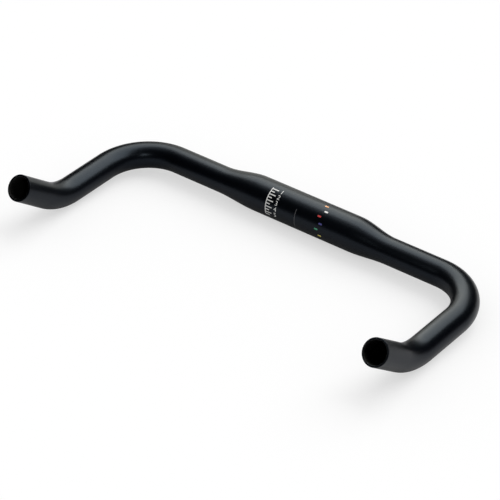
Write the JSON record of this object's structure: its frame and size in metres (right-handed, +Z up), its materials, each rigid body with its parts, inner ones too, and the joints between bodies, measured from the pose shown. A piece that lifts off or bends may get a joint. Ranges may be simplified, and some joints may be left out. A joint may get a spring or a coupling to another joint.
{
  "type": "bullhorn handlebar",
  "caption": "Bullhorn bicycle handlebar: satin black aluminium tube, fat where a stem grips it, bent forward into level horns with upturned open tips.",
  "frame": {"origin": "middle of the stem clamp, on the clamp's axis", "axes": "+X forward, the way the horns point; +Y along the clamp's axis, to the rider's left; +Z up, square to the flat surface that the bar lies on"},
  "size_m": [0.1792, 0.4, 0.0527],
  "materials": {
    "satin_black": "bead-blasted and anodised satin black, with small printed marks beside the clamp"
  },
  "bodies": {
    "root": {"handlebar": "satin_black"}
  },
  "joints": []
}
